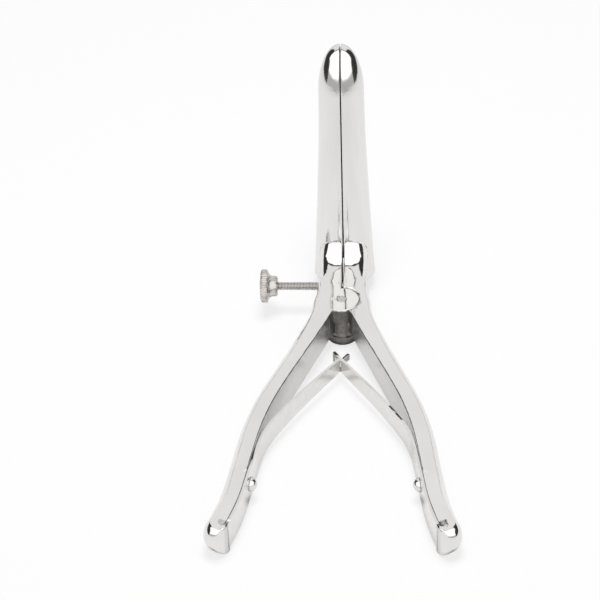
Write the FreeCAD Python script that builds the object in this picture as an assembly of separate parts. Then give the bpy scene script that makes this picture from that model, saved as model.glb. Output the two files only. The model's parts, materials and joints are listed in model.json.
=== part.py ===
import FreeCAD, Part
import math
import os

from FreeCAD import Vector

# A two-blade anal speculum in stainless steel. Millimetres, +Z up, +X right, +Y away from the hands.
# The pivot axis is Z. The origin is the centre of the flat face under the pivot nut.
# The instrument lies on that face and on the undersides of its two handle tips.

# Pivot
pivot_screw_radius = 1.7
pivot_screw_dome = 0.35
pivot_running_clearance = 0.05
ear_radius = 5.9
ear_root = 2.6
ear_edge_round = 0.4
ear_seat_rise = 0.05
ear_drop = 0.03
ear_side_clearance = 0.15
ear_face_clearance = 0.05
lower_ear_thickness = 4.45
washer_radius = 4.5
washer_thickness = 0.7

# Knurled nut under the pivot
nut_flange_radius = 5.35
nut_flange_height = 3.1
nut_boss_radius = 4.0
nut_boss_height = 2.0
nut_floor = 1.0
nut_teeth = 44
knurl_depth = 0.3
rim_bevel = 0.45

# Lever bars: half-round, with the flat face inside
shank_depth = 10.3
grip_depth = 12.2
tip_depth = 13.4
neck_thickness = 6.3
pivot_thickness = 9.2
bar_thickness = 7.4
grip_thickness = 6.8
pivot_squareness = 3.4
bar_squareness = 2.1
neck_length = 16.0
pivot_swelling = 10.5
squareness_fade = 26.0
edge_round = 0.5
seam_gap = 0.6

# Line of the lever's flat face seen from above, from the blade to the tip
pivot_to_elbow = 4.0
elbow_radius = 20.0
splay_angle = 23.7
upper_bar_length = 39.5
knuckle_radius = 105.0
grip_angle = 9.3
grip_length = 20.0
flare_radius = 88.0
tip_angle = 20.5
tip_length = 5.5
tip_step = 1.2
thumb_flat_height = 12.0

# Blades: two half shells round a barrel that leans back
barrel_lean = 10.0
barrel_behind_pivot = 29.0
barrel_foot_height = 5.0
barrel_foot_radius = 10.3
barrel_middle_radius = 8.65
barrel_shoulder_radius = 7.65
barrel_length = 85.0
barrel_end_length = 16.5
blade_wall = 1.2
blade_gap = 0.3
blade_edge_round = 0.35
knee_radius = 10.0
knee_sink = 0.12
knee_side_sink = 0.8
knee_tail = 6.5

# Set screw through the left shank
set_screw_radius = 1.5
set_screw_from_pivot = 13.0
set_screw_rest_gap = 0.15
set_screw_reach = 25.0
set_screw_clearance = 0.04
knob_radius = 5.6
knob_rim_width = 2.7
knob_boss_radius = 3.5
knob_boss_width = 1.6
knob_neck_width = 1.5
knob_teeth = 46

# Leaf springs
leaf_thickness = 0.9
leaf_foot_width = 10.0
leaf_tip_width = 5.2
leaf_height = 6.5
leaf_seat_gap = 0.1
lift_from_rivet = 13.3
lift_radius = 40.0
lift_turn = 19.5
leaf_radius = 200.0
leaf_turn = 6.0
leaf_foot_free_end = 0.4
tongue_height = 2.2
tongue_reach = 3.8
slot_clearance = 0.35
slot_length = 3.6
slot_bridge = 1.2

# Spring rivets
rivet_from_notch = 23.5
rivet_radius = 1.2
rivet_head_radius = 2.4
rivet_head_height = 2.1
rivet_depth = 4.0
rivet_hole_clearance = 0.05
rivet_head_gap = 0.05

# Sizes that follow
lever_underside = nut_flange_height + nut_boss_height + washer_thickness
lever_top = lever_underside + shank_depth
lap_height = lever_underside + lower_ear_thickness
shank_middle = lever_underside + shank_depth / 2
blade_half_gap = blade_gap / 2
shank_half_gap = seam_gap / 2
tall = 200.0
UP = Vector(0, 0, 1)


def radians(degrees):
    return math.radians(degrees)


def smooth(start, end, share):
    """Value between start and end that leaves and arrives level."""
    share = min(max(share, 0.0), 1.0)
    return start + (end - start) * share * share * (3 - 2 * share)


def cylinder(radius, low, high):
    return Part.makeCylinder(radius, high - low, Vector(0, 0, low), UP)


def mirrored(shape):
    """The left-hand twin of a right-hand shape."""
    return shape.mirror(Vector(0, 0, 0), Vector(1, 0, 0))


def curve_through(points):
    curve = Part.BSplineCurve()
    curve.interpolate(points)
    return curve.toShape()


# The flat face's line is a chain of straights and arcs, each a length and a turn.

def arc_run(radius, turn):
    return abs(radius * radians(turn)), radians(turn)


neck_run = barrel_behind_pivot - pivot_to_elbow
lever_line = [
    (neck_run, 0.0),
    arc_run(elbow_radius, splay_angle),
    (upper_bar_length, 0.0),
    arc_run(knuckle_radius, grip_angle - splay_angle),
    (grip_length, 0.0),
    arc_run(flare_radius, tip_angle - grip_angle),
    (tip_length, 0.0),
]
lever_run = sum(run for run, turn in lever_line)
notch_run = lever_run - tip_length
pivot_run = barrel_behind_pivot
elbow_run = neck_run + lever_line[1][0]
rivet_run = notch_run - rivet_from_notch


def follow(line, place, heading, distance):
    """Point and heading at a distance along a chain of straights and arcs that starts at place."""
    for run, turn in line:
        step = min(distance, run)
        bend = turn * step / run
        chord = step if abs(bend) < 1e-9 else 2 * step / bend * math.sin(bend / 2)
        middle = heading + bend / 2
        place = place + Vector(math.sin(middle), -math.cos(middle), 0) * chord
        heading += bend
        distance -= step
        if distance <= 0:
            break
    return place, heading


def on_lever(distance):
    start = Vector(shank_half_gap, barrel_behind_pivot, 0)
    return follow(lever_line, start, 0.0, distance)


def outward(heading):
    """Direction across the bar, away from the other lever."""
    return Vector(math.cos(heading), math.sin(heading), 0)


def bar_thickness_at(distance):
    """Thin where it meets the blade, thickest at the pivot, even along the bar, thinner in the grip."""
    if distance < pivot_run:
        share = min(max((distance - pivot_run + neck_length) / neck_length, 0.0), 1.0)
        return neck_thickness + (pivot_thickness - neck_thickness) * math.sin(share * math.pi / 2)
    if distance < pivot_run + pivot_swelling:
        return smooth(pivot_thickness, bar_thickness, (distance - pivot_run) / pivot_swelling)
    knuckle = elbow_run + upper_bar_length
    return smooth(bar_thickness, grip_thickness, (distance - knuckle) / (rivet_run - knuckle))


def squareness_at(distance):
    """Power of the bar's outline: 2 is an ellipse, and more is a flatter top with fuller corners."""
    return smooth(pivot_squareness, bar_squareness, (distance - pivot_run) / squareness_fade)


def bar_depth_at(distance):
    if distance < rivet_run:
        share = (distance - pivot_run - ear_radius) / upper_bar_length
        return smooth(shank_depth - ear_seat_rise, grip_depth, share)
    return smooth(grip_depth, tip_depth, (distance - rivet_run) / rivet_from_notch)


def underside_at(distance):
    """The bars bow down from the washer's top to the table that the nut stands on."""
    start = pivot_run + ear_radius
    share = min(max((distance - start) / (rivet_run - start), 0.0), 1.0)
    return (lever_underside + ear_seat_rise) * (1 - math.sin(share * math.pi / 2))


def corner_angle(thickness, half, squareness):
    """Where the outer side meets the small round along the flat face's edge."""
    height = half * (1 - (edge_round / thickness) ** squareness) ** (1 / squareness)
    return math.atan2(height, edge_round)


def bar_outline(at, thickness, upper, lower, squareness, step_in=0.0):
    """Section of the bar: a flat inner side, two small corner rounds and a full outer side.

    at turns a place across and up from the flat face's middle into a point. step_in moves only
    the flat side, inwards."""
    top_corner = corner_angle(thickness, upper, squareness)
    low_corner = corner_angle(thickness, lower, squareness)
    side = []
    steps = 12
    for step in range(steps + 1):
        angle = top_corner - (top_corner + low_corner) * step / steps
        half = upper if angle > 0 else lower
        across = abs(math.cos(angle) / thickness) ** squareness
        upward = abs(math.sin(angle) / half) ** squareness
        reach = (across + upward) ** (-1 / squareness)
        side.append((reach * math.cos(angle), reach * math.sin(angle)))
    top = side[0][1]
    low = side[-1][1]
    flat = -step_in
    round_end = flat + edge_round
    inside = edge_round * (1 - math.sqrt(0.5))
    edges = [
        Part.makeLine(at(flat, low + edge_round), at(flat, top - edge_round)),
        Part.Arc(at(flat, top - edge_round), at(flat + inside, top - inside), at(round_end, top)).toShape(),
    ]
    if step_in:
        edges.append(Part.makeLine(at(round_end, top), at(*side[0])))
    edges.append(curve_through([at(x, z) for x, z in side]))
    if step_in:
        edges.append(Part.makeLine(at(*side[-1]), at(round_end, low)))
    edges.append(
        Part.Arc(at(round_end, low), at(flat + inside, low + inside), at(flat, low + edge_round)).toShape()
    )
    return Part.Wire(edges)


def half_round(distance, step_in=0.0, scale=1.0):
    """Section of the bar at a distance along its line."""
    place, heading = on_lever(distance)
    across = outward(heading)
    thickness = bar_thickness_at(distance)
    half = bar_depth_at(distance) / 2
    middle = (thickness - step_in) / 2
    centre = place + across * middle + UP * (underside_at(distance) + half)

    def at(x, z):
        return centre + across * ((x - middle) * scale) + UP * (z * scale)

    return bar_outline(at, thickness, half, half, squareness_at(distance), step_in)


def handle_bar(start):
    """The bar from the neck of the shank to the step that stops the spring's foot."""
    count = 24
    run = notch_run - start
    sections = [half_round(start + run * step / count) for step in range(count + 1)]
    return Part.makeLoft(sections, True, False)


def handle_tip():
    """Rounded end, one step thicker than the bar."""
    sections = []
    last = 0.985
    count = 7
    for step in range(count + 1):
        share = last * math.sin(math.pi / 2 * step / count)
        scale = math.sqrt(1 - share * share)
        sections.append(half_round(notch_run + tip_length * share, tip_step, scale))
    return Part.makeLoft(sections, True, False)


def thumb_flat():
    """What the flat on top of the handle's end takes away."""
    place, heading = on_lever(rivet_run)
    corner = Vector(0, place.y - tall, thumb_flat_height)
    return Part.makeBox(tall, tall, tall, corner)


# The barrel is drawn upright at the origin, then leaned back and set behind the pivot.

def barrel_outline(inset):
    """Wall line from the foot to the tip, one inset inside the outside."""
    shoulder = barrel_length - barrel_end_length
    foot = Vector(0, -(barrel_foot_radius - inset), 0)
    middle = Vector(0, -(barrel_middle_radius - inset), shoulder / 2)
    top = Vector(0, -(barrel_shoulder_radius - inset), shoulder)
    side = Part.BSplineCurve()
    slope = (barrel_foot_radius - barrel_middle_radius) / (shoulder / 2)
    side.interpolate(Points=[foot, middle, top], InitialTangent=Vector(0, slope * 1.1, 1),
                     FinalTangent=Vector(0, 0, 1))
    end = []
    for step in range(9):
        angle = math.pi / 2 * step / 8
        radius = (barrel_shoulder_radius - inset) * math.cos(angle)
        height = shoulder + (barrel_end_length - inset) * math.sin(angle)
        end.append(Vector(0, -radius, height))
    dome = Part.BSplineCurve()
    dome.interpolate(Points=end, InitialTangent=Vector(0, 0, 1), FinalTangent=Vector(0, 1, 0))
    return side.toShape(), dome.toShape(), foot, end[-1]


def set_barrel(shape):
    shape.rotate(Vector(0, 0, 0), Vector(1, 0, 0), -barrel_lean)
    shape.translate(Vector(0, barrel_behind_pivot, barrel_foot_height))
    return shape


def filled_barrel():
    """Outside of the closed blades as one solid, carried down past the foot, to trim the shanks."""
    side, dome, foot, tip = barrel_outline(0.0)
    below = Vector(0, foot.y, -barrel_foot_radius)
    bottom = Vector(0, 0, -barrel_foot_radius)
    wire = Part.Wire([
        Part.makeLine(bottom, below),
        Part.makeLine(below, foot),
        side,
        dome,
        Part.makeLine(tip, bottom),
    ])
    return set_barrel(Part.Face(wire).revolve(Vector(0, 0, 0), UP, 360))


def blade():
    """Right-hand half shell with a rolled rim at the foot and half of the closed end."""
    side, dome, foot, tip = barrel_outline(0.0)
    inner_side, inner_dome, inner_foot, inner_tip = barrel_outline(blade_wall)
    rim_middle = Vector(0, (foot.y + inner_foot.y) / 2, -blade_wall / 2)
    wire = Part.Wire([
        side,
        dome,
        Part.makeLine(tip, inner_tip),
        inner_dome,
        inner_side,
        Part.Arc(inner_foot, rim_middle, foot).toShape(),
    ])
    shell = Part.Face(wire).revolve(Vector(0, 0, 0), UP, 180)
    seam = Part.makeBox(2 * blade_half_gap, 2 * tall, 2 * tall, Vector(-blade_half_gap, -tall, -tall))
    shell = shell.cut(seam)
    seam_edges = []
    for edge in shell.Edges:
        on_seam = all(abs(vertex.X - blade_half_gap) < 1e-4 for vertex in edge.Vertexes)
        middle = edge.valueAt((edge.FirstParameter + edge.LastParameter) / 2)
        if on_seam and abs(middle.x - blade_half_gap) < 1e-4 and edge.Length > 2 * blade_wall:
            seam_edges.append(edge)
    return set_barrel(shell.makeFillet(blade_edge_round, seam_edges))


def barrel_taper():
    """Slope of the barrel's side near its foot, against its own axis."""
    shoulder = barrel_length - barrel_end_length
    return math.atan((barrel_foot_radius - barrel_middle_radius) / (shoulder / 2))


def barrel_wall_slope():
    """Lean of the barrel's front wall from the vertical, near the shanks."""
    return radians(barrel_lean) + barrel_taper()


def knee_start():
    """Place behind the pivot where the shank turns up, so that the knee ends along the wall."""
    slope = barrel_wall_slope()
    lean = radians(barrel_lean)
    front_y = barrel_behind_pivot - barrel_foot_radius * math.cos(lean)
    front_z = barrel_foot_height + barrel_foot_radius * math.sin(lean)
    centre_z = lever_top + knee_radius
    wall_y = front_y + (centre_z - front_z) * math.tan(slope)
    return wall_y - (knee_radius - knee_sink) / math.cos(slope)


def knee_section(share):
    """The shank's section, turned up by a share of the knee and grown until it lies in the barrel."""
    turn = share * (math.pi / 2 - barrel_wall_slope())
    start = knee_start()
    distance = pivot_run - start
    top = Vector(shank_half_gap, start + knee_radius * math.sin(turn),
                 lever_top + knee_radius * (1 - math.cos(turn)))
    inward = Vector(0, math.sin(turn), -math.cos(turn))
    barrel_radius = barrel_foot_radius - (lever_top + knee_radius) * math.tan(barrel_taper())
    thickness = smooth(bar_thickness_at(distance), barrel_radius - knee_side_sink, share)
    upper = smooth(bar_depth_at(distance) / 2, barrel_radius, share)
    to_underside = (lever_top + knee_radius - underside_at(distance)) / math.cos(turn)
    lower = min(to_underside - knee_radius - upper, knee_tail)
    squareness = smooth(pivot_squareness, 2.0, share)

    def at(x, z):
        return top + Vector(x, 0, 0) + inward * (upper - z)

    return bar_outline(at, thickness, upper, lower, squareness)


def knee():
    """The shank bent up onto the blade, widening until it lies along the barrel's wall."""
    count = 10
    sections = [knee_section(step / count) for step in range(count + 1)]
    return Part.makeLoft(sections, True, False)


def rivet_place():
    place, heading = on_lever(rivet_run)
    return place + UP * leaf_height, outward(heading)


def rivet_hole(clearance):
    place, across = rivet_place()
    radius = rivet_radius + clearance
    start = place - across * rivet_depth
    return Part.makeCylinder(radius, 2 * rivet_depth, start, across)


def lever_blank():
    """Right-hand bar, knee and tip in one, trimmed to the blade's outside."""
    bar = handle_bar(pivot_run - knee_start())
    blank = bar.fuse([knee(), handle_tip()])
    return blank.cut([filled_barrel(), thumb_flat(), rivet_hole(0)])


def ear(low, high, rounded_top):
    """Flat disc round the pivot, on the far side of the seam from its own lever."""
    disc = cylinder(ear_radius, low, high)
    if rounded_top:
        rim = [edge for edge in disc.Edges if edge.Length > ear_radius and edge.CenterOfMass.z > high - 0.01]
        disc = disc.makeFillet(ear_edge_round, rim)
    far_side = Part.makeBox(tall, tall, tall, Vector(ear_root - tall, -tall / 2, 0))
    return disc.common(far_side)


def right_lever(blank):
    upper_ear_room = cylinder(ear_radius + ear_side_clearance, lap_height, lever_top + tall)
    hole = cylinder(pivot_screw_radius + pivot_running_clearance, -tall, tall)
    lever = blank.cut(upper_ear_room).fuse(ear(lever_underside, lap_height, False))
    return lever.cut(hole).removeSplitter()


def left_lever(blank):
    face = lap_height + ear_face_clearance
    lower_ear_room = cylinder(ear_radius + ear_side_clearance, lever_underside - tall, face)
    hole = cylinder(pivot_screw_radius, -tall, tall)
    thread_start = Vector(-tall, set_screw_from_pivot, shank_middle)
    threaded_hole = Part.makeCylinder(set_screw_radius + set_screw_clearance, tall, thread_start,
                                      Vector(1, 0, 0))
    lever = blank.cut(lower_ear_room).fuse(ear(face, lever_top - ear_drop, True))
    return mirrored(lever).cut([hole, threaded_hole]).removeSplitter()


def turned(points, axis_place, axis):
    """Solid of revolution from a closed outline."""
    outline = Part.makePolygon(points + [points[0]])
    return Part.Face(outline).revolve(axis_place, axis, 360)


def knurl(radius, teeth, low, high):
    """Straight-knurled disc about Z."""
    points = []
    for tooth in range(2 * teeth):
        reach = radius if tooth % 2 == 0 else radius - knurl_depth
        angle = math.pi * tooth / teeth
        points.append(Vector(reach * math.cos(angle), reach * math.sin(angle), low))
    outline = Part.makePolygon(points + [points[0]])
    return Part.Face(outline).extrude(UP * (high - low))


def pivot_nut():
    top = nut_flange_height + nut_boss_height
    outline = [
        Vector(0, 0, 0),
        Vector(nut_flange_radius - rim_bevel, 0, 0),
        Vector(nut_flange_radius, 0, rim_bevel),
        Vector(nut_flange_radius, 0, nut_flange_height - rim_bevel),
        Vector(nut_flange_radius - rim_bevel, 0, nut_flange_height),
        Vector(nut_boss_radius, 0, nut_flange_height),
        Vector(nut_boss_radius, 0, top),
        Vector(0, 0, top),
    ]
    body = turned(outline, Vector(0, 0, 0), UP)
    body = body.common(knurl(nut_flange_radius, nut_teeth, 0, top))
    return body.cut(cylinder(pivot_screw_radius, nut_floor, top))


def pivot_washer():
    low = nut_flange_height + nut_boss_height
    high = low + washer_thickness
    return cylinder(washer_radius, low, high).cut(cylinder(pivot_screw_radius, low, high))


def pivot_screw():
    """Plain pivot with a low domed end that shows on the upper ear."""
    shaft = cylinder(pivot_screw_radius, nut_floor, lever_top)
    ball = (pivot_screw_radius ** 2 + pivot_screw_dome ** 2) / (2 * pivot_screw_dome)
    dome = Part.makeSphere(ball, Vector(0, 0, lever_top + pivot_screw_dome - ball))
    dome = dome.common(cylinder(pivot_screw_radius, lever_top, lever_top + pivot_screw_dome))
    return shaft.fuse(dome)


def set_screw_end():
    """Inner end of the set screw, just short of the right shank's flat face."""
    return shank_half_gap - set_screw_rest_gap


def set_screw_rod():
    """Rod with a ball nose, which rolls on the right shank's face as the blades open."""
    nose = Vector(set_screw_end() - set_screw_radius, set_screw_from_pivot, shank_middle)
    length = set_screw_reach + knob_rim_width - set_screw_radius
    rod = Part.makeCylinder(set_screw_radius, length, nose, Vector(-1, 0, 0))
    return rod.fuse(Part.makeSphere(set_screw_radius, nose)).removeSplitter()


def set_screw_knob():
    """Knurled rim, then a concave neck and a round boss towards the shank."""
    neck_start = knob_rim_width
    neck_end = neck_start + knob_neck_width
    boss_end = neck_end + knob_boss_width
    middle = (neck_start + neck_end) / 2
    shoulder = knob_radius - 2 * rim_bevel
    edges = [
        Part.makePolygon([
            Vector(boss_end, 0, 0),
            Vector(0, 0, 0),
            Vector(0, shoulder, 0),
            Vector(rim_bevel, knob_radius, 0),
            Vector(neck_start - rim_bevel, knob_radius, 0),
            Vector(neck_start, shoulder, 0),
        ]),
        Part.Arc(Vector(neck_start, shoulder, 0),
                 Vector(middle, knob_boss_radius + (shoulder - knob_boss_radius) / 5, 0),
                 Vector(neck_end, knob_boss_radius, 0)).toShape(),
        Part.makePolygon([
            Vector(neck_end, knob_boss_radius, 0),
            Vector(boss_end - rim_bevel, knob_boss_radius, 0),
            Vector(boss_end, knob_boss_radius - rim_bevel, 0),
            Vector(boss_end, 0, 0),
        ]),
    ]
    wires = []
    for edge in edges:
        wires.extend(edge.Edges)
    body = Part.Face(Part.Wire(wires)).revolve(Vector(0, 0, 0), Vector(1, 0, 0), 360)
    ribs = knurl(knob_radius, knob_teeth, 0, boss_end)
    ribs.rotate(Vector(0, 0, 0), Vector(0, 1, 0), 90)
    body = body.common(ribs)
    bore = Part.makeCylinder(set_screw_radius, tall, Vector(rim_bevel, 0, 0), Vector(1, 0, 0))
    body = body.cut(bore)
    start = set_screw_end() - set_screw_reach - knob_rim_width - rim_bevel
    body.translate(Vector(start, set_screw_from_pivot, shank_middle))
    return body


# The leaf lies on the handle's flat face, lifts off and bends over to the middle plane.

leaf_start_run = notch_run - leaf_foot_free_end
lift_run = rivet_run - lift_from_rivet


def leaf_line():
    place, heading = on_lever(lift_run)
    back = heading + math.pi
    return place, back, [arc_run(lift_radius, lift_turn), arc_run(leaf_radius, leaf_turn)]


def crossing_distance():
    """Distance from the lift-off at which the leaf reaches the middle plane."""
    place, heading, bends = leaf_line()
    low = 0.0
    high = 2 * barrel_length
    line = bends + [(high, 0.0)]
    for halving in range(60):
        middle = (low + high) / 2
        if follow(line, place, heading, middle)[0].x > 0:
            low = middle
        else:
            high = middle
    return low


def leaf_points(offset, beyond):
    """Points of the leaf's side at an offset from the handle's face, from foot to free end."""
    points = []
    foot_steps = 12
    for step in range(foot_steps + 1):
        distance = leaf_start_run + (lift_run - leaf_start_run) * step / foot_steps
        place, heading = on_lever(distance)
        points.append(place - outward(heading) * offset)
    place, heading, bends = leaf_line()
    run = crossing_distance() + beyond
    line = bends + [(run, 0.0)]
    leaf_steps = 14
    for step in range(1, leaf_steps + 1):
        spot, direction = follow(line, place, heading, run * step / leaf_steps)
        points.append(spot + outward(direction) * offset)
    return points


def leaf(beyond):
    """Right-hand leaf before its end is cut: wide at the foot, narrow at the free end."""
    back = leaf_points(leaf_seat_gap, beyond)
    front = leaf_points(leaf_seat_gap + leaf_thickness, beyond)
    wire = Part.Wire([
        curve_through(back),
        Part.makeLine(back[-1], front[-1]),
        curve_through(front),
        Part.makeLine(front[0], back[0]),
    ])
    half_foot = leaf_foot_width / 2
    half_tip = leaf_tip_width / 2
    strip = Part.Face(wire).extrude(UP * leaf_foot_width)
    strip.translate(UP * (leaf_height - half_foot))
    place, heading = on_lever(rivet_run)
    crossing = leaf_crossing()
    for side in (-1, 1):
        points = [
            Vector(-tall, place.y, leaf_height + side * half_foot),
            Vector(-tall, crossing.y, leaf_height + side * half_tip),
            Vector(-tall, crossing.y + tall, leaf_height + side * half_tip),
            Vector(-tall, crossing.y + tall, leaf_height + side * 2 * half_foot),
            Vector(-tall, place.y, leaf_height + side * 2 * half_foot),
        ]
        waste = Part.Face(Part.makePolygon(points + [points[0]])).extrude(Vector(2 * tall, 0, 0))
        strip = strip.cut(waste)
    return strip


def leaf_crossing():
    place, heading, bends = leaf_line()
    run = crossing_distance()
    return follow(bends + [(run, 0.0)], place, heading, run)[0]


def crossing_heading():
    place, heading, bends = leaf_line()
    run = crossing_distance()
    return follow(bends + [(run, 0.0)], place, heading, run)[1]


def leaf_block(start, length, height, thick):
    """Block along the free end of the right-hand leaf, from start past the middle plane."""
    heading = crossing_heading()
    along = Vector(math.sin(heading), -math.cos(heading), 0)
    across = outward(heading)
    corner = leaf_crossing() + along * start - across * (thick / 2) + UP * (leaf_height - height / 2)
    block = Part.makePolygon([
        corner,
        corner + along * length,
        corner + along * length + across * thick,
        corner + across * thick,
        corner,
    ])
    return Part.Face(block).extrude(UP * height)


def left_spring():
    """The leaf whose narrow tongue goes through the other leaf's slot."""
    strip = leaf(tongue_reach)
    end_zone = leaf_block(-leaf_thickness * 1.6, tall, leaf_foot_width, 10 * leaf_thickness)
    tongue_zone = leaf_block(-leaf_thickness * 1.6, tall, tongue_height, 10 * leaf_thickness)
    strip = strip.cut(end_zone.cut(tongue_zone))
    return mirrored(strip.cut(rivet_hole(rivet_hole_clearance)))


def right_spring():
    """The leaf with the slot."""
    strip = leaf(slot_length / 2 + slot_bridge)
    slot_height = tongue_height + 2 * slot_clearance
    slot = leaf_block(-slot_length / 2, slot_length, slot_height, 10 * leaf_thickness)
    return strip.cut([slot, rivet_hole(rivet_hole_clearance)])


def rivet():
    """Domed head on the leaf's foot and a shank that ends inside the handle."""
    place, across = rivet_place()
    stack = leaf_seat_gap + leaf_thickness + rivet_head_gap
    seat = place - across * stack
    shank = Part.makeCylinder(rivet_radius, stack + rivet_depth, seat, across)
    ball = (rivet_head_radius ** 2 + rivet_head_height ** 2) / (2 * rivet_head_height)
    head = Part.makeSphere(ball, seat - across * (rivet_head_height - ball))
    head = head.common(Part.makeCylinder(rivet_head_radius, rivet_head_height, seat, across * -1))
    return head.fuse(shank)


def main():
    blank = lever_blank()
    right_blade = blade()
    spring_rivet = rivet()
    nodes = {
        "right_lever": right_lever(blank),
        "left_lever": left_lever(blank),
        "right_blade": right_blade,
        "left_blade": mirrored(right_blade),
        "pivot_screw": pivot_screw(),
        "pivot_washer": pivot_washer(),
        "pivot_nut": pivot_nut(),
        "set_screw_rod": set_screw_rod(),
        "set_screw_knob": set_screw_knob(),
        "right_spring": right_spring(),
        "left_spring": left_spring(),
        "right_spring_rivet": spring_rivet,
        "left_spring_rivet": mirrored(spring_rivet),
    }
    os.makedirs("parts", exist_ok=True)
    for name, shape in nodes.items():
        print(name, shape.isValid(), len(shape.Solids), len(shape.Faces), round(shape.Volume, 1))
        solid = shape.Solids[0] if len(shape.Solids) == 1 else shape
        solid.exportStep("parts/" + name + ".step")


main()
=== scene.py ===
# %% [markdown]
# A two-blade speculum in polished stainless steel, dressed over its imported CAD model.
# The CAD model is loaded first and stays where it is. Every piece made here lies on the part that
# carries it, in metres, with +Z up and +Y away from the hands.

# %% Load the frame
import json
import math
import bpy
from mathutils import Matrix, Vector

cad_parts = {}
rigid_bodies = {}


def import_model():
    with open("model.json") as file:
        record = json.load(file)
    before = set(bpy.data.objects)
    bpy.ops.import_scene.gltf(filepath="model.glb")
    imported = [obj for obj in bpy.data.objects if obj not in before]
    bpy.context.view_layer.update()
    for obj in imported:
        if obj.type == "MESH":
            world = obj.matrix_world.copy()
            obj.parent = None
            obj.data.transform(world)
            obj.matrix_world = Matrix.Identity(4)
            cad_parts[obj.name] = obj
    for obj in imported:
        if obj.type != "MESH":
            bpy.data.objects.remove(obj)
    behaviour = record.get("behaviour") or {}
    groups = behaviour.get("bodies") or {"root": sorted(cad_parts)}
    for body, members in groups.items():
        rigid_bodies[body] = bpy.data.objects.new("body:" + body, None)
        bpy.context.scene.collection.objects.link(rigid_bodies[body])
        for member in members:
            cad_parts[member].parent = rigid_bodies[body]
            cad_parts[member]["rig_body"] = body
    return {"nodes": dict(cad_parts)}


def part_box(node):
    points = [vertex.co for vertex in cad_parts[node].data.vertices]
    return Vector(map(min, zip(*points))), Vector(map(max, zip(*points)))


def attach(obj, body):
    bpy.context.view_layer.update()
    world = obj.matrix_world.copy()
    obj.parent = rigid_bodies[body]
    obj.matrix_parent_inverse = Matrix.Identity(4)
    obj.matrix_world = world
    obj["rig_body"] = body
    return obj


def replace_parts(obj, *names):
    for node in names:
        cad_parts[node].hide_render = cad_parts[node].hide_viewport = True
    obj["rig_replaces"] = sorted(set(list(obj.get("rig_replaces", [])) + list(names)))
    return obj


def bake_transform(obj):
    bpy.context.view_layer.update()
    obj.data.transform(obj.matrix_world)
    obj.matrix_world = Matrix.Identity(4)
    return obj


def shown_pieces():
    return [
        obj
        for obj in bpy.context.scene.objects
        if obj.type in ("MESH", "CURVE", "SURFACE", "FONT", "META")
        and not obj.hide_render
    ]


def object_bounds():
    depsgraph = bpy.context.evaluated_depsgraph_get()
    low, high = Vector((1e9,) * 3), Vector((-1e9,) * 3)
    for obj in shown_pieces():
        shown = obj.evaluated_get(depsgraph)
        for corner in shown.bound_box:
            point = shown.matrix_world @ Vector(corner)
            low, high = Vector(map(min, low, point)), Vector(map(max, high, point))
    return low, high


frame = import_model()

cad_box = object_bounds()
print("CAD box in mm:", [[round(c * 1000, 1) for c in corner] for corner in cad_box])

# %% [markdown]
# Edit-mode operators act on whatever is selected, and the loader leaves the CAD nodes selected.
# So each step starts from an empty selection, and a new piece is made the active one.

# %% Selection helpers
mm = 0.001


def select_only(piece):
    bpy.ops.object.select_all(action="DESELECT")
    piece.select_set(True)
    bpy.context.view_layer.objects.active = piece


def edit_all(piece):
    select_only(piece)
    bpy.ops.object.mode_set(mode="EDIT")
    bpy.ops.mesh.select_all(action="SELECT")


# %% [markdown]
# A CAD node's mesh is loose triangles, so light breaks at each of them. A copy whose doubles are
# merged can be shaded smooth, with a crease wherever two faces meet at a real edge. Polished metal
# needs that, because a mirror shows every facet. The slivers along a cut would still pull the
# normals about, so the Weighted Normal modifier lets the large faces decide.

# %% Smooth skin of a CAD node
merge_distance = 0.002 * mm
crease_degrees = 32
large_face_weight = 80


def skin_of(node, name, crease_angle=crease_degrees):
    original = frame["nodes"][node]
    select_only(original)
    bpy.ops.object.duplicate()
    piece = bpy.context.view_layer.objects.active
    piece.name = name
    for key in list(piece.keys()):
        del piece[key]
    piece.parent = None
    edit_all(piece)
    bpy.ops.mesh.remove_doubles(threshold=merge_distance)
    bpy.ops.object.mode_set(mode="OBJECT")
    bpy.ops.object.shade_smooth_by_angle(angle=math.radians(crease_angle))
    weighting = piece.modifiers.new("large_faces_decide", "WEIGHTED_NORMAL")
    weighting.mode = "FACE_AREA_WITH_ANGLE"
    weighting.weight = large_face_weight
    weighting.keep_sharp = True
    bpy.ops.object.modifier_apply(modifier="large_faces_decide")
    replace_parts(piece, node)
    print(name, "has", len(piece.data.polygons), "faces")
    return piece


def dress(piece, material):
    piece.data.materials.clear()
    piece.data.materials.append(material)


# %% [markdown]
# The finishes and the studio are built from the same few shader nodes: a sum, a soft edge and a
# blend. Each gets a short helper here, so that a mask below reads as one line.

# %% Node helpers
def add_node(tree, kind, **settings):
    node = tree.nodes.new(kind)
    for key, value in settings.items():
        if key in node.inputs:
            node.inputs[key].default_value = value
        else:
            setattr(node, key, value)
    return node


def link_or_set(tree, value, socket):
    if isinstance(value, (int, float)):
        socket.default_value = value
    else:
        tree.links.new(value, socket)


def calculate(tree, operation, first, second=0.0):
    node = add_node(tree, "ShaderNodeMath", operation=operation)
    link_or_set(tree, first, node.inputs[0])
    link_or_set(tree, second, node.inputs[1])
    return node.outputs[0]


def soft_step(tree, value, low, high):
    """0 below low and 1 above high, with a soft edge between."""
    ramp = add_node(tree, "ShaderNodeMapRange", interpolation_type="SMOOTHSTEP")
    ramp.inputs["From Min"].default_value = low
    ramp.inputs["From Max"].default_value = high
    tree.links.new(value, ramp.inputs["Value"])
    return ramp.outputs["Result"]


def below(tree, value, low, high):
    """1 below low and 0 above high."""
    return calculate(tree, "SUBTRACT", 1.0, soft_step(tree, value, low, high))


def all_of(tree, limits):
    """1 only where every limit is 1."""
    mask = limits[0]
    for limit in limits[1:]:
        mask = calculate(tree, "MULTIPLY", mask, limit)
    return mask


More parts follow.
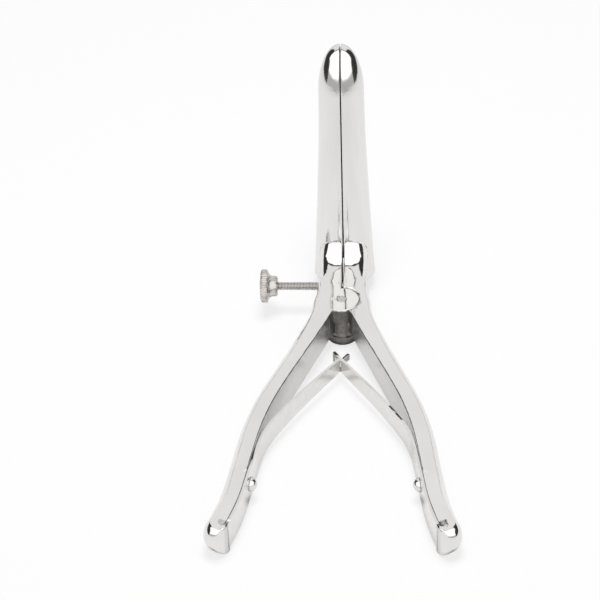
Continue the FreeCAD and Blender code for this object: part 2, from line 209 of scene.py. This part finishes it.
def blend_values(tree, share, low, high):
    node = add_node(tree, "ShaderNodeMix")
    link_or_set(tree, share, node.inputs[0])
    link_or_set(tree, low, node.inputs[2])
    link_or_set(tree, high, node.inputs[3])
    return node.outputs[0]


def blend_colours(tree, share, low, high):
    node = add_node(tree, "ShaderNodeMix", data_type="RGBA")
    tree.links.new(share, node.inputs[0])
    for value, socket in ((low, node.inputs[6]), (high, node.inputs[7])):
        if isinstance(value, tuple):
            socket.default_value = (*value, 1)
        else:
            tree.links.new(value, socket)
    return node.outputs[2]


def split_vector(tree, vector):
    node = add_node(tree, "ShaderNodeSeparateXYZ")
    tree.links.new(vector, node.inputs[0])
    return node.outputs["X"], node.outputs["Y"], node.outputs["Z"]


# %% [markdown]
# Steel has no colour of its own beyond a slightly warm grey: what shows is what it mirrors. So a
# finish lies in its roughness, which noise breaks up, and in a very low bump from hand polishing.
# Each finish is one Principled shader, and the noise reads Object coordinates, which stay with the
# piece when it moves.

# %% Steel finishes
darkest_streak = 0.9
palest_streak = 1.06
noise_low = 0.3
noise_high = 0.7
bump_height = 0.05 * mm


def darker(colour, share):
    return tuple(part * share for part in colour)


def steel(name, colour, smoothest, roughest, grain, waviness, stretch=(1, 1, 1)):
    material = bpy.data.materials.new(name)
    material.use_nodes = True
    tree = material.node_tree
    shader = tree.nodes["Principled BSDF"]
    shader.inputs["Metallic"].default_value = 1
    place = add_node(tree, "ShaderNodeTexCoord")
    scaled = add_node(tree, "ShaderNodeMapping")
    scaled.inputs["Scale"].default_value = stretch
    tree.links.new(place.outputs["Object"], scaled.inputs["Vector"])
    noise = add_node(tree, "ShaderNodeTexNoise", Scale=grain, Detail=4.0, Roughness=0.55)
    tree.links.new(scaled.outputs[0], noise.inputs["Vector"])
    spread = add_node(tree, "ShaderNodeMapRange")
    spread.inputs["From Min"].default_value = noise_low
    spread.inputs["From Max"].default_value = noise_high
    spread.inputs["To Min"].default_value = smoothest
    spread.inputs["To Max"].default_value = roughest
    tree.links.new(noise.outputs["Fac"], spread.inputs["Value"])
    streaks = blend_colours(
        tree, noise.outputs["Fac"],
        darker(colour, darkest_streak), darker(colour, palest_streak))
    tree.links.new(streaks, shader.inputs["Base Color"])
    tree.links.new(spread.outputs["Result"], shader.inputs["Roughness"])
    bump = add_node(tree, "ShaderNodeBump", Strength=waviness, Distance=bump_height)
    tree.links.new(noise.outputs["Fac"], bump.inputs["Height"])
    tree.links.new(bump.outputs["Normal"], shader.inputs["Normal"])
    print(name, "has", len(tree.nodes), "nodes")
    return material


polished_colour = (0.80, 0.79, 0.775)
satin = steel(
    "satin_steel", (0.77, 0.76, 0.745),
    smoothest=0.12, roughest=0.2, grain=400.0, waviness=0.02)
turned = steel(
    "turned_steel", (0.62, 0.60, 0.58),
    smoothest=0.2, roughest=0.3, grain=500.0, waviness=0.03)
# Painted shade: this steel is painted dark for the shade under the pivot, where the nut and washer
# sit.
dull_and_shaded = steel(
    "turned_steel_painted_shade", (0.22, 0.213, 0.206),
    smoothest=0.28, roughest=0.42, grain=900.0, waviness=0.1)

# %% [markdown]
# The levers are polished all over but for the faces that nobody can reach with a buff: between the
# handles, under the ears, the forging's grainy skin is left, and there it is painted near black as
# painted shade, since the ears and the other handle shade those faces. One material holds both, and
# a mask chooses: close to the pivot, low enough, and on a face that doesn't look up. The flat inner
# sides of the handles are only ground, so a second mask makes them less sharp, and paints them
# greyer as painted shade, for the shaded floor that they mirror. Each range below is where its mask
# fades from one finish to the other.

# %% Where the levers are forged or ground, and where shade is painted on them
shaded_forging_reach = (8.6 * mm, 9.2 * mm)
shaded_forging_half_width = (6.6 * mm, 7.2 * mm)
handle_start = (-4.0 * mm, -3.0 * mm)
ear_height = (15.2 * mm, 15.6 * mm)
looking_up = (0.75, 0.85)
looking_inward = (-0.85, -0.7)

# Painted shade: the forging's skin under the ears and between the handles is painted near black,
# with paler grain.
shaded_forging_dark = (0.03, 0.028, 0.026)
shaded_forging_pale = (0.42, 0.40, 0.38)
forged_roughness = 0.5
# Painted shade: the inner sides are painted greyer than the polished steel, for the shaded floor
# they mirror.
inward_sides_painted_shade = darker(polished_colour, 0.82)
ground_roughness = 0.2


def forged_and_shaded_mask(tree, place):
    x, y, z = split_vector(tree, place.outputs["Object"])
    facing_z = split_vector(tree, place.outputs["Normal"])[2]
    squares = [calculate(tree, "MULTIPLY", part, part) for part in (x, y)]
    reach = calculate(tree, "SQRT", calculate(tree, "ADD", *squares))
    return all_of(tree, (
        below(tree, reach, *shaded_forging_reach),
        below(tree, calculate(tree, "ABSOLUTE", x), *shaded_forging_half_width),
        below(tree, y, *handle_start),
        below(tree, z, *ear_height),
        below(tree, facing_z, *looking_up),
    ))


# Faces that look inward, at the other handle, get painted shade and a rougher finish.
def ground_and_shaded_mask(tree, place):
    x, y, z = split_vector(tree, place.outputs["Object"])
    facing_x = split_vector(tree, place.outputs["Normal"])[0]
    outward = calculate(tree, "MULTIPLY", facing_x, calculate(tree, "SIGN", x))
    return all_of(tree, (
        below(tree, outward, *looking_inward),
        below(tree, y, *handle_start),
    ))


# %% Polished lever with its rough forged patch and painted shade
def what_drives(shader, name):
    return shader.inputs[name].links[0].from_socket


def lever_steel():
    material = steel(
        "lever_steel", polished_colour,
        smoothest=0.05, roughest=0.08, grain=60.0, waviness=0.6)
    tree = material.node_tree
    shader = tree.nodes["Principled BSDF"]
    place = add_node(tree, "ShaderNodeTexCoord")
    forged_and_shaded = forged_and_shaded_mask(tree, place)
    ground_and_shaded = ground_and_shaded_mask(tree, place)
    grain = add_node(tree, "ShaderNodeTexNoise", Scale=900.0, Detail=6.0, Roughness=0.7)
    tree.links.new(place.outputs["Object"], grain.inputs["Vector"])
    # Painted shade: the forged patch is painted near black, with grain, where the ears and handles
    # shade it.
    shaded_forging_colour = blend_colours(tree, grain.outputs["Fac"], shaded_forging_dark, shaded_forging_pale)
    colour = what_drives(shader, "Base Color")
    # Painted shade: inward faces greyer, as the shaded floor they mirror.
    colour = blend_colours(tree, ground_and_shaded, colour, inward_sides_painted_shade)
    colour = blend_colours(tree, forged_and_shaded, colour, shaded_forging_colour)
    tree.links.new(colour, shader.inputs["Base Color"])
    roughness = what_drives(shader, "Roughness")
    roughness = blend_values(tree, ground_and_shaded, roughness, ground_roughness)
    roughness = blend_values(tree, forged_and_shaded, roughness, forged_roughness)
    tree.links.new(roughness, shader.inputs["Roughness"])
    bump = what_drives(shader, "Normal").node
    height = calculate(tree, "MULTIPLY", grain.outputs["Fac"], forged_and_shaded)
    tree.links.new(height, bump.inputs["Height"])
    return material


lever_finish = lever_steel()

# %% Levers
for node in ("left_lever", "right_lever"):
    dress(skin_of(node, node + "_forging"), lever_finish)

# %% [markdown]
# A blade is polished outside, along its length. Its inner wall is matt, since it is only blasted,
# and painted dark for the shade inside the closed barrel, and that makes the seam read as a black
# line. An inner face is one whose normal points at the barrel's axis, so the mask compares the
# normal with the way out from that axis.

# %% Polished blade with painted shade on its inner wall
barrel_foot = Vector((0, 29, 5)) * mm
barrel_lean = math.radians(10)
pointing_in = (-2.0 * mm, -1.0 * mm)
inner_wall_painted_shade = (0.12, 0.115, 0.11)
inner_wall_roughness = 0.55


def inner_wall_mask(tree, place):
    x, y, z = split_vector(tree, place.outputs["Object"])
    lean = calculate(tree, "MULTIPLY", z, math.tan(barrel_lean))
    axis_y = barrel_foot.y - barrel_foot.z * math.tan(barrel_lean)
    out_y = calculate(tree, "SUBTRACT", calculate(tree, "SUBTRACT", y, lean), axis_y)
    facing_x, facing_y = split_vector(tree, place.outputs["Normal"])[:2]
    outward = calculate(
        tree, "ADD",
        calculate(tree, "MULTIPLY", x, facing_x),
        calculate(tree, "MULTIPLY", out_y, facing_y))
    return below(tree, outward, *pointing_in)


def blade_steel():
    material = steel(
        "blade_steel", polished_colour,
        smoothest=0.07, roughest=0.13, grain=40.0, waviness=0.02, stretch=(6, 6, 0.5))
    tree = material.node_tree
    shader = tree.nodes["Principled BSDF"]
    mask = inner_wall_mask(tree, add_node(tree, "ShaderNodeTexCoord"))
    # Painted shade: the inner wall is painted dark for the shade inside the barrel.
    colour = blend_colours(tree, mask, what_drives(shader, "Base Color"), inner_wall_painted_shade)
    tree.links.new(colour, shader.inputs["Base Color"])
    roughness = blend_values(tree, mask, what_drives(shader, "Roughness"), inner_wall_roughness)
    tree.links.new(roughness, shader.inputs["Roughness"])
    return material


blade_finish = blade_steel()

# %% Blades
for node in ("left_blade", "right_blade"):
    dress(skin_of(node, node + "_shell"), blade_finish)

# %% [markdown]
# The small parts are turned on a lathe. The knob and the screws are bright. The nut and its washer
# sit in the shade under the pivot and are never polished, so they are rougher, and their steel is
# painted dark as painted shade.

# %% Small turned parts
for node in ("pivot_screw", "set_screw_knob"):
    dress(skin_of(node, node + "_turned"), turned)
# Painted shade on the nut and washer.
for node in ("pivot_washer", "pivot_nut"):
    dress(skin_of(node, node + "_turned"), dull_and_shaded)
for node in ("left_spring_rivet", "right_spring_rivet"):
    dress(skin_of(node, node + "_head"), satin)

# %% [markdown]
# The set screw is an M3 rod, and its thread shows in the light. A thread could be faked with a
# bump, but its outline would stay straight. So one tooth is drawn, a triangle, and the Screw
# modifier turns it round the rod's axis while it moves along, half a millimetre a turn. It lies on
# a plain core, as deep as a real thread.

# %% Core of the set screw's rod
rod_low, rod_high = (Vector(corner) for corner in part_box("set_screw_rod"))
rod_middle = (rod_low + rod_high) / 2
rod_radius = (rod_high.z - rod_low.z) / 2
rod_length = rod_high.x - rod_low.x
thread_depth = 0.3 * mm
core_sides = 40
end_inset = 0.25 * mm
end_facing = 0.9

bpy.ops.object.select_all(action="DESELECT")
bpy.ops.mesh.primitive_cylinder_add(
    vertices=core_sides, radius=rod_radius - thread_depth, depth=rod_length,
    location=rod_middle, rotation=(0, math.radians(90), 0))
core = bpy.context.object
core.name = "set_screw_rod_thread"
bpy.ops.object.transform_apply(location=True, rotation=True, scale=True)
select_only(core)
bpy.ops.object.mode_set(mode="EDIT")
bpy.ops.mesh.select_mode(type="FACE")
bpy.ops.mesh.select_all(action="DESELECT")
bpy.ops.object.mode_set(mode="OBJECT")
for face in core.data.polygons:
    face.select = abs(face.normal.x) > end_facing
bpy.ops.object.mode_set(mode="EDIT")
bpy.ops.mesh.inset(thickness=end_inset)
bpy.ops.object.mode_set(mode="OBJECT")
print("rod radius in mm:", round(rod_radius / mm, 2), "length:", round(rod_length / mm, 2))

# %% Thread round the core
thread_pitch = 0.5 * mm
tooth_size = 0.27 * mm
plain_end = 1.0 * mm
steps_a_turn = 20
turns = int((rod_length - 2 * plain_end) / thread_pitch)

bpy.ops.object.select_all(action="DESELECT")
bpy.ops.mesh.primitive_circle_add(vertices=3, radius=tooth_size, fill_type="NOTHING")
tooth = bpy.context.object
edit_all(tooth)
bpy.ops.transform.translate(value=(0, rod_radius - tooth_size, 0))
bpy.ops.object.mode_set(mode="OBJECT")
screw = tooth.modifiers.new("thread", "SCREW")
screw.axis = "X"
screw.screw_offset = thread_pitch
screw.iterations = turns
screw.steps = steps_a_turn
screw.render_steps = steps_a_turn
bpy.ops.object.modifier_apply(modifier="thread")
edit_all(tooth)
bpy.ops.mesh.remove_doubles(threshold=0.001 * mm)
bpy.ops.mesh.select_all(action="DESELECT")
bpy.ops.mesh.select_mode(type="EDGE")
bpy.ops.mesh.select_non_manifold(extend=False)
bpy.ops.mesh.fill()
bpy.ops.mesh.select_all(action="SELECT")
bpy.ops.mesh.normals_make_consistent(inside=False)
bpy.ops.transform.translate(value=(rod_low.x + plain_end, rod_middle.y, rod_middle.z))
bpy.ops.object.mode_set(mode="OBJECT")
print("thread:", turns, "turns,", len(tooth.data.polygons), "faces")

# %% Rod and thread as one piece
tooth.select_set(True)
core.select_set(True)
bpy.context.view_layer.objects.active = core
bpy.ops.object.join()
bpy.ops.object.shade_smooth_by_angle(angle=math.radians(crease_degrees))
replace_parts(core, "set_screw_rod")
dress(core, turned)
print(core.name, "has", len(core.data.polygons), "faces")

# %% [markdown]
# Every piece so far stands for one CAD node, so it rides on that node's body.

# %% Each skin rides on its node's body
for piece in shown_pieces():
    if piece.parent is None:
        node = list(piece["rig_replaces"])[0]
        body = frame["nodes"][node]["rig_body"]
        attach(piece, body)
        print(piece.name, "rides on", body)

# %% [markdown]
# A leaf spring bends, while its riveted foot stays flat on the handle. The CAD model turns the whole
# leaf about the place where it lifts off. Here the strip is cut across into short lengths, from
# where it lifts off to where the two leaves cross.

# %% Leaf springs cut into short lengths
lift_off = {"left": Vector((-25.4, -65.8, 6.5)) * mm, "right": Vector((25.4, -65.8, 6.5)) * mm}
crossing = Vector((0, -20.9, 6.5)) * mm
cuts = 24
spring_crease_degrees = 40

for side, lift in lift_off.items():
    leaf = skin_of(side + "_spring", side + "_spring_strip", spring_crease_degrees)
    for step in range(cuts):
        along = lift.lerp(crossing, step / cuts)
        edit_all(leaf)
        bpy.ops.mesh.bisect(plane_co=along, plane_no=(crossing - lift).normalized())
        bpy.ops.object.mode_set(mode="OBJECT")
    dress(leaf, satin)
    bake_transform(leaf)
    print(leaf.name, "has", cuts, "cuts across it")

# %% [markdown]
# The photograph's table and background are one white. The floor is matt and pale for every ray that
# lights the steel, and for the camera most of it is a plain glow of strength 1, which is white. The
# rest still takes the object's shadow.

# %% Floor
floor_size = 0.9
floor_colour = (0.95, 0.95, 0.95, 1)
glowing_share = 0.72

bpy.ops.mesh.primitive_plane_add(size=floor_size, location=(0, 0, cad_box[0][2]))
floor = bpy.context.object
floor.name = "floor"
paper = bpy.data.materials.new("white_table")
paper.use_nodes = True
tree = paper.node_tree
tree.nodes.clear()
paths = add_node(tree, "ShaderNodeLightPath")
matt = add_node(tree, "ShaderNodeBsdfDiffuse", Color=floor_colour)
glow = add_node(tree, "ShaderNodeEmission", Color=(1, 1, 1, 1), Strength=1.0)
whitened = blend_values(tree, paths.outputs["Is Camera Ray"], 0.0, glowing_share)
mix = add_node(tree, "ShaderNodeMixShader")
out = add_node(tree, "ShaderNodeOutputMaterial")
tree.links.new(whitened, mix.inputs["Fac"])
tree.links.new(matt.outputs[0], mix.inputs[1])
tree.links.new(glow.outputs[0], mix.inputs[2])
tree.links.new(mix.outputs[0], out.inputs["Surface"])
floor.data.materials.append(paper)
print("floor is", floor_size, "m square")

# %% [markdown]
# A polished surface is drawn by what it mirrors, so the world is a small studio, for glossy rays
# only: a pale backdrop behind the blades, a wide softbox overhead that reaches down in front, and
# unlit room at both sides and in the gap between the two. All other rays see one even grey.
# Each edge below is a pair of direction components, between which one light fades into the next.

# %% Studio lights and their edges
dark_room = 0.04
front_room = 0.5
backdrop_level = 0.93
far_floor_level = 0.62
softbox_level = 1.35
even_light = 0.5

backdrop_near_edge = (0.18, 0.24)
backdrop_side_edge = (0.6, 0.68)
backdrop_foot = (-0.06, 0.12)
softbox_side_edge = (0.93, 0.955)
softbox_far_edge = (0.10, 0.14)
softbox_low_edge = (0.08, 0.16)
front_edge = (-0.3, 0.0)
print("studio levels:", dark_room, front_room, far_floor_level, backdrop_level, softbox_level)

# %% World
world = bpy.data.worlds.new("studio")
bpy.context.scene.world = world
world.use_nodes = True
tree = world.node_tree
tree.nodes.clear()
paths = add_node(tree, "ShaderNodeLightPath")
direction = add_node(tree, "ShaderNodeTexCoord")
x, y, z = split_vector(tree, direction.outputs["Generated"])
aside = calculate(tree, "ABSOLUTE", x)

backdrop = all_of(tree, (
    soft_step(tree, y, *backdrop_near_edge),
    below(tree, aside, *backdrop_side_edge),
))
narrow = below(tree, aside, *softbox_side_edge)
softbox = all_of(tree, (
    narrow,
    below(tree, y, *softbox_far_edge),
    soft_step(tree, z, *softbox_low_edge),
))
in_front = all_of(tree, (narrow, below(tree, y, *front_edge)))
room = blend_values(tree, in_front, dark_room, front_room)
risen = soft_step(tree, z, *backdrop_foot)
backdrop_light = blend_values(tree, risen, far_floor_level, backdrop_level)
mirrored = blend_values(tree, backdrop, room, backdrop_light)
mirrored = blend_values(tree, softbox, mirrored, softbox_level)
level = blend_values(tree, paths.outputs["Is Glossy Ray"], even_light, mirrored)
background = add_node(tree, "ShaderNodeBackground", Color=(1, 1, 1, 1))
out = add_node(tree, "ShaderNodeOutputWorld")
tree.links.new(level, background.inputs["Strength"])
tree.links.new(background.outputs[0], out.inputs["Surface"])
print("studio has", len(tree.nodes), "nodes")

# %% [markdown]
# The shadow under the instrument is soft and short, as from a lamp high overhead. The disk isn't
# mirrored, because the world already holds the softbox that the steel shows.

# %% Overhead light
bpy.ops.object.light_add(type="AREA", location=(0, 0, 0.8))
overhead = bpy.context.object
overhead.data.shape = "DISK"
overhead.data.size = 0.35
overhead.data.energy = 3.5
overhead.visible_glossy = False
print("overhead light of", overhead.data.energy, "W")

# %% [markdown]
# The photograph looks down at about 40 degrees from the handles' end, slightly turned and tilted.
# The camera is placed so that the top of the pivot screw falls on its own pixel.

# %% Camera
frame_width = 600
sensor_width = 36
focal_pixels = 2695.0
camera_distance = 0.9
camera_height_angle = math.radians(39.9)
camera_turn = math.radians(-4.0)
camera_roll = math.radians(-2.55)
pivot_top = Vector((0, 0, 16.2)) * mm
pivot_pixel = (341.6, 298.75)

ahead = Vector((
    math.sin(camera_turn) * math.cos(camera_height_angle),
    math.cos(camera_turn) * math.cos(camera_height_angle),
    -math.sin(camera_height_angle),
))
level_right = Vector((math.cos(camera_turn), -math.sin(camera_turn), 0))
level_up = level_right.cross(ahead)
right = level_right * math.cos(camera_roll) + level_up * math.sin(camera_roll)
up = level_up * math.cos(camera_roll) - level_right * math.sin(camera_roll)
metres_per_pixel = camera_distance / focal_pixels
centre = frame_width / 2
place = pivot_top - ahead * camera_distance
place -= right * (pivot_pixel[0] - centre) * metres_per_pixel
place += up * (pivot_pixel[1] - centre) * metres_per_pixel
turn = Matrix((right, up, -ahead)).transposed()
bpy.ops.object.camera_add(location=place, rotation=turn.to_euler())
camera = bpy.context.object
camera.data.sensor_width = sensor_width
camera.data.lens = focal_pixels * sensor_width / frame_width
bpy.context.scene.camera = camera
bpy.context.scene.view_settings.view_transform = "Standard"
print("lens in mm:", round(camera.data.lens, 1))
